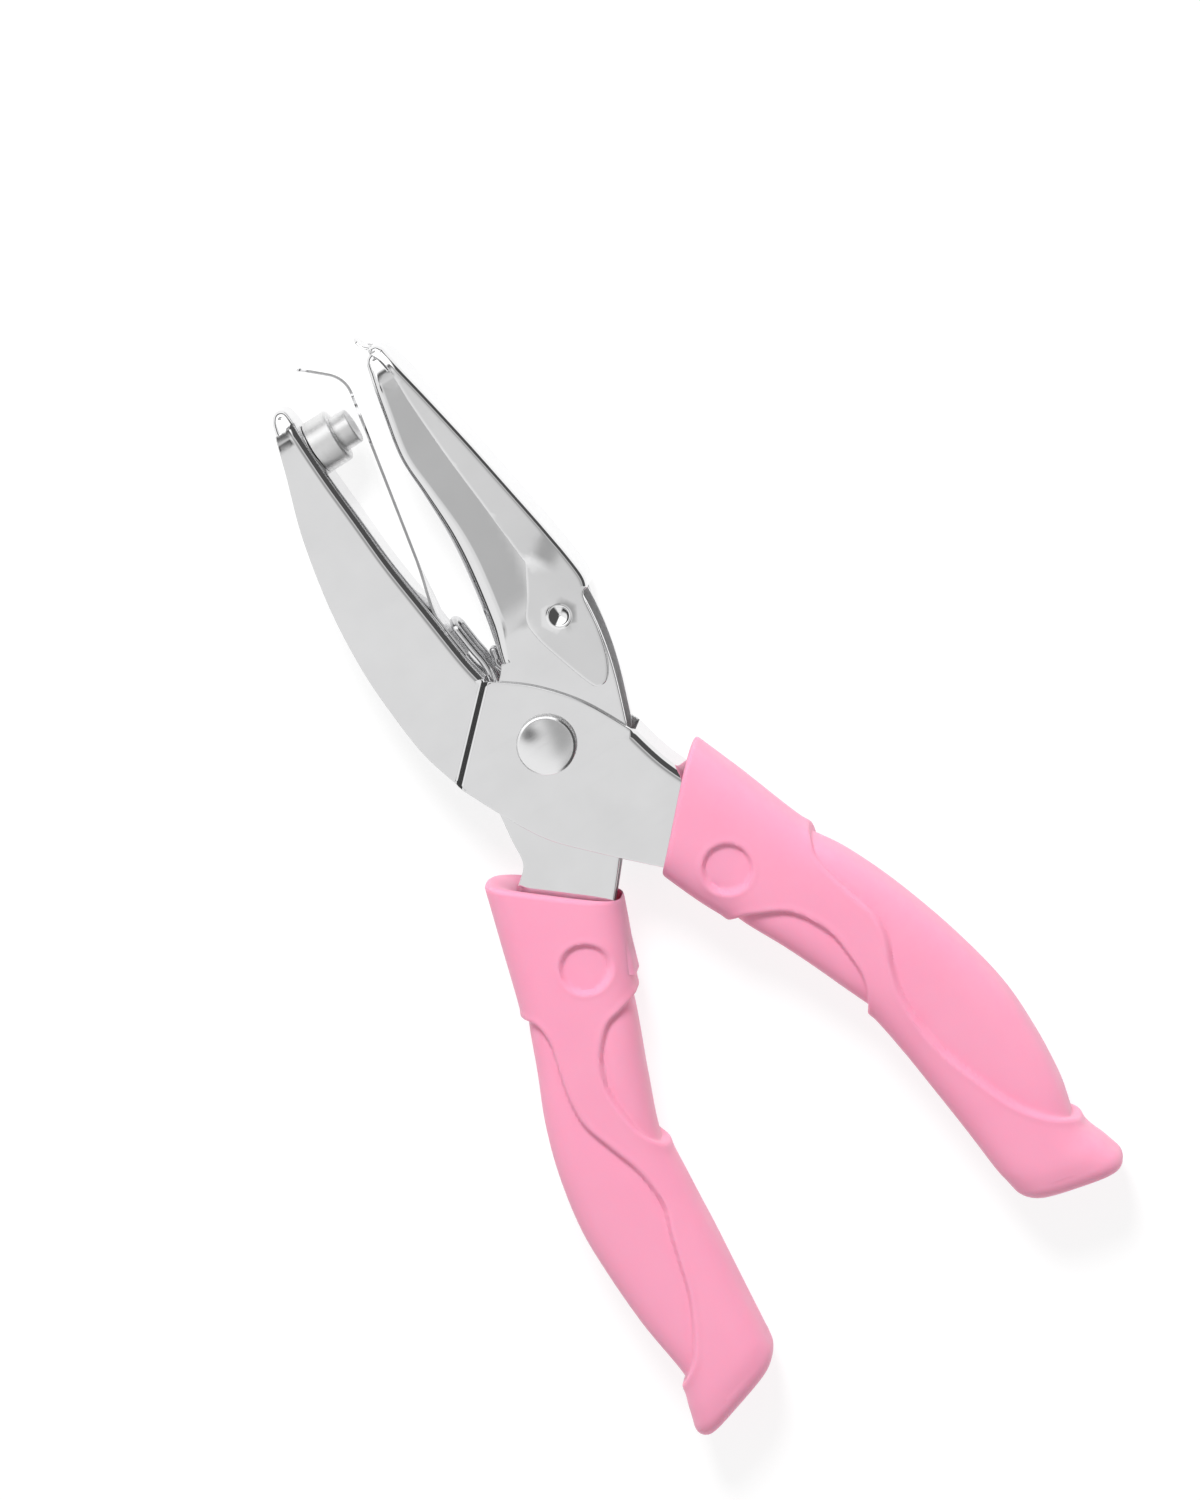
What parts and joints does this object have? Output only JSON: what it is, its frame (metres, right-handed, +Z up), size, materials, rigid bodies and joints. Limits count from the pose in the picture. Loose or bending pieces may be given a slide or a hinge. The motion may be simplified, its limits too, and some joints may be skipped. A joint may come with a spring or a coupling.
{
  "type": "hand-held hole punch",
  "caption": "Plier-style craft punch for paper: crossed pressed-steel arms, round punch and die, spring throat, hinged chip catcher and soft sleeve grips.",
  "frame": {"origin": "on the pivot axis, at the flat underside of the rivet, which is also the plane the tool lies on", "axes": "+Y from the pivot to the jaws, +Z up the pivot axis, +X from the punch arm's jaw to the die arm's jaw"},
  "size_m": [0.0735, 0.1629, 0.015],
  "materials": {
    "arm_steel": "bright nickel-chrome plate on pressed steel",
    "catcher_steel": "bright nickel plate on thin pressed steel",
    "rivet_steel": "polished nickel plate",
    "turned_steel": "fine turned satin",
    "spring_wire": "drawn spring wire, plated",
    "spring_strip": "rolled spring strip, bright edges",
    "grip_vinyl": "soft satin vinyl, pink"
  },
  "bodies": {
    "punch_side": {"punch_arm": "arm_steel", "pivot_rivet": "rivet_steel", "pivot_spacer": "rivet_steel", "return_spring": "spring_wire", "punch_holder": "turned_steel", "punch_pin": "turned_steel", "punch_arm_grip": "grip_vinyl"},
    "die_side": {"die_arm": "arm_steel", "die_insert": "turned_steel", "die_arm_grip": "grip_vinyl"},
    "catcher": {"chip_catcher": "catcher_steel"},
    "stripper": {"stripper_blade": "spring_strip"}
  },
  "joints": [
    {"name": "squeeze", "type": "hinge", "parent": "punch_side", "child": "die_side", "pos_m": [0, 0, 0.0075], "axis": [0, 0, 1], "range_deg": [0, 7], "stiffness_Nm_per_rad": 3, "springref_deg": -14.32, "deforming": ["return_spring"]},
    {"name": "catcher_hinge", "type": "hinge", "parent": "die_side", "child": "catcher", "pos_m": [0.0117, 0.0148, 0.0075], "axis": [0, 0, -1], "range_deg": [0, 22]},
    {"name": "stripper_flex", "type": "hinge", "parent": "punch_side", "child": "stripper", "pos_m": [-0.0038, 0.0242, 0.0075], "axis": [0, 0, 1], "range_deg": [0, 7.2]}
  ],
  "couplings": [
    {"joint": "stripper_flex", "follows": "squeeze", "ratio": 1.02}
  ]
}
